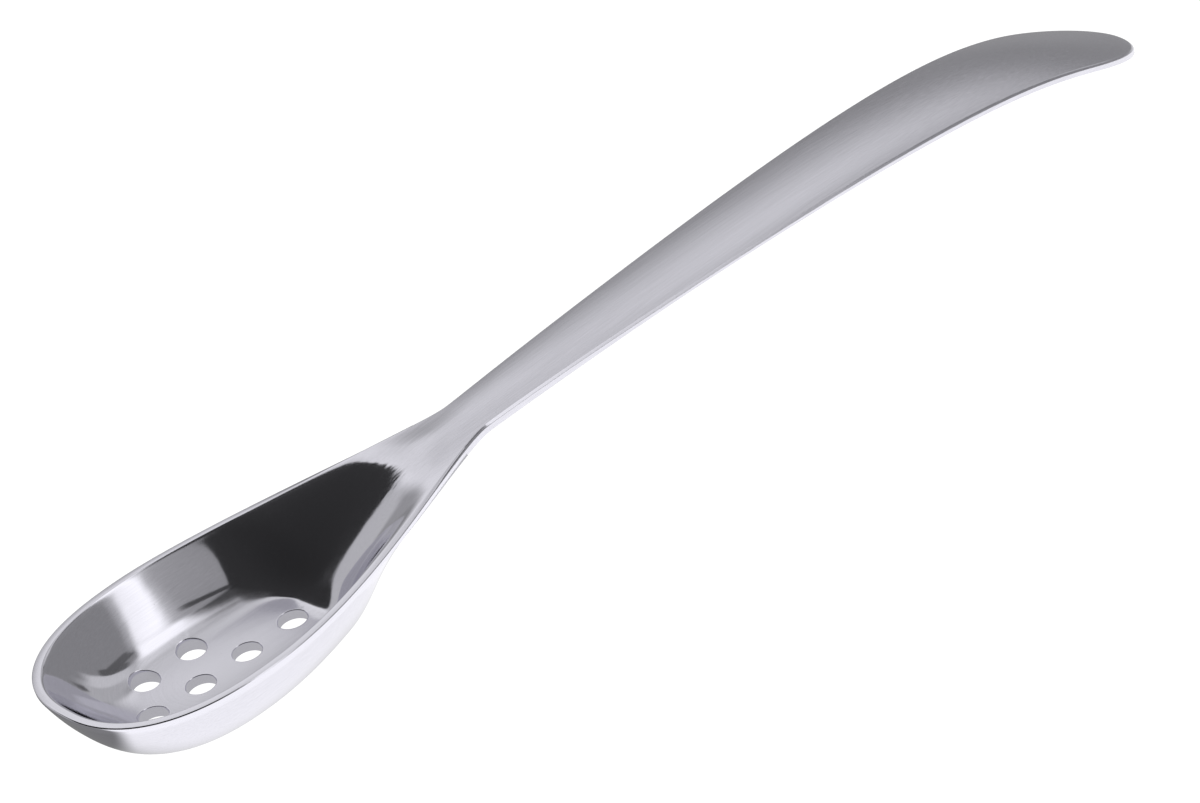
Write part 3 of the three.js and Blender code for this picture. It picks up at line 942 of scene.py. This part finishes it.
def make_table(scene):
    """White table, which the camera sees almost without a shadow, and which glows in the steel's
    reflections with painted shade behind the spoon and painted shadows
    """
    studio = scene.spoon_studio
    mesh = bmesh.new()
    bmesh.ops.create_grid(mesh, x_segments=1, y_segments=1, size=studio.table_size)
    data = bpy.data.meshes.new("table")
    mesh.to_mesh(data)
    mesh.free()
    table = bpy.data.objects.new("table", data)
    scene.collection.objects.link(table)
    material = bpy.data.materials.new("table_white")
    material.use_nodes = True
    kit = ShaderKit(material.node_tree)
    place = kit.add("ShaderNodeTexCoord", None, None, "Object")
    axes = kit.add("ShaderNodeSeparateXYZ", None, {"Vector": place})
    # Painted shade behind the spoon on the glowing table
    shaded = kit.rise(axes.other("Y"), studio.shade_from, studio.shade_to)
    open_table = blend(studio.table_near, studio.table_behind_painted_shade, shaded)
    bowl_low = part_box("bowl")[0]
    # Painted shadow under the bowl
    painted_shadow_under_bowl = painted_table_shadow(kit, axes, bowl_low.x, BOWL_SHADOW)
    # Painted shadow before the tip
    painted_shadow_before_tip = painted_table_shadow(kit, axes, bowl_low.x, TIP_SHADOW)
    shadowed = blend(open_table, studio.table_under_painted_shadow, painted_shadow_under_bowl)
    grey = blend(shadowed, studio.table_tip_painted_shadow, painted_shadow_before_tip)
    # The table as the steel mirrors it: a glow carrying the painted shade and painted shadows
    paint = kit.add("ShaderNodeCombineColor", None, {"Red": grey, "Green": grey, "Blue": grey})
    around = kit.add("ShaderNodeEmission", None, {"Color": paint})
    white = kit.add("ShaderNodeEmission", None, {"Strength": studio.backdrop})
    matt = kit.add("ShaderNodeBsdfDiffuse", None, {"Color": (*studio.table_paint, 1)})
    shown = kit.add("ShaderNodeMixShader", None, {0: studio.shadow, 1: white, 2: matt})
    seen = kit.add("ShaderNodeLightPath", None, None, "Is Camera Ray")
    both = kit.add("ShaderNodeMixShader", None, {0: seen, 1: around, 2: shown})
    kit.add("ShaderNodeOutputMaterial", None, {"Surface": both})
    data.materials.append(material)


def make_camera(scene):
    """Camera that stands, looks and is turned as the sizes say"""
    studio = scene.spoon_studio
    lens = bpy.data.cameras.new("camera")
    lens.lens = studio.focal_length
    lens.sensor_width = studio.sensor_width
    camera = bpy.data.objects.new("camera", lens)
    scene.collection.objects.link(camera)
    back = -Vector(studio.camera_aim).normalized()
    right = Vector(studio.camera_up).cross(back).normalized()
    turn = Matrix((right, back.cross(right), back)).transposed()
    camera.matrix_world = Matrix.Translation(studio.camera_place) @ turn.to_4x4()
    scene.camera = camera


class SPOON_OT_bowl(bpy.types.Operator):
    """Makes the pierced bowl"""

    bl_idname = "spoon.bowl"
    bl_label = "Bowl"

    def execute(self, context):
        shape = SpoonShape(context.scene)
        holes = context.scene.spoon_holes
        sides = side_rows(shape, shape.outline.widest_at, WELD_FROM, BOWL_ROWS)
        mesh = make_skin(shape, np.concatenate([tip_rows(shape), sides[1:]]))
        width = mark_rounding(mesh, shape)
        for place in hole_places(holes):
            pierce(mesh, shape, holes, place)
        caps = close_end(mesh, WELD_FROM)
        steel = make_steel(context.scene, "polished_steel")
        piece = make_piece(context, "bowl", mesh, caps, width, steel)
        return {"FINISHED"}


class SPOON_OT_neck_weld(bpy.types.Operator):
    """Makes the weld in the neck, ground flush"""

    bl_idname = "spoon.neck_weld"
    bl_label = "Neck weld"

    def execute(self, context):
        shape = SpoonShape(context.scene)
        mesh = make_skin(shape, side_rows(shape, WELD_FROM, WELD_TO, WELD_ROWS))
        width = mark_rounding(mesh, shape)
        caps = close_end(mesh, WELD_FROM) + close_end(mesh, WELD_TO)
        steel = make_steel(context.scene, "ground_steel")
        piece = make_piece(context, "neck_weld", mesh, caps, width, steel)
        return {"FINISHED"}


class SPOON_OT_handle(bpy.types.Operator):
    """Makes the arched handle"""

    bl_idname = "spoon.handle"
    bl_label = "Handle"

    def execute(self, context):
        shape = SpoonShape(context.scene)
        sides = side_rows(shape, WELD_TO, shape.end_widest, HANDLE_ROWS)
        mesh = make_skin(shape, np.concatenate([sides[:-1], end_rows(shape)]))
        width = mark_rounding(mesh, shape)
        caps = close_end(mesh, WELD_TO)
        steel = make_steel(context.scene, "satin_steel")
        piece = make_piece(context, "handle", mesh, caps, width, steel)
        return {"FINISHED"}


class SPOON_OT_stage(bpy.types.Operator):
    """Makes the table, the light and the camera"""

    bl_idname = "spoon.stage"
    bl_label = "Stage"

    def execute(self, context):
        context.scene.view_settings.view_transform = "Standard"
        make_studio(context.scene)
        make_table(context.scene)
        make_camera(context.scene)
        return {"FINISHED"}


GROUPS = {
    "spoon_outline": SpoonOutline,
    "spoon_profile": SpoonProfile,
    "spoon_bowl": BowlForm,
    "spoon_handle": HandleForm,
    "spoon_rounding": EdgeRounding,
    "spoon_holes": DrainHoles,
    "spoon_finish": SteelFinish,
    "spoon_studio": StudioLight,
}
MAKERS = (SPOON_OT_bowl, SPOON_OT_neck_weld, SPOON_OT_handle, SPOON_OT_stage)


class SPOON_PT_panel(bpy.types.Panel):
    """Lists the makers and their sizes"""

    bl_idname = "SPOON_PT_panel"
    bl_label = "Olive spoon"
    bl_space_type = "VIEW_3D"
    bl_region_type = "UI"
    bl_category = "Spoon"

    def draw(self, context):
        for maker in MAKERS:
            self.layout.operator(maker.bl_idname)
        for name, group in GROUPS.items():
            column = self.layout.column()
            column.label(text=group.__doc__)
            for size in group.__annotations__:
                column.prop(getattr(context.scene, name), size)


def register():
    for name, group in GROUPS.items():
        bpy.utils.register_class(group)
        setattr(bpy.types.Scene, name, PointerProperty(type=group))
    for maker in (*MAKERS, SPOON_PT_panel):
        bpy.utils.register_class(maker)


def unregister():
    for maker in (*MAKERS, SPOON_PT_panel):
        bpy.utils.unregister_class(maker)
    for name, group in GROUPS.items():
        delattr(bpy.types.Scene, name)
        bpy.utils.unregister_class(group)


def main():
    register()
    bpy.ops.spoon.bowl()
    bpy.ops.spoon.neck_weld()
    bpy.ops.spoon.handle()
    bpy.ops.spoon.stage()


if __name__ == "__main__":
    main()
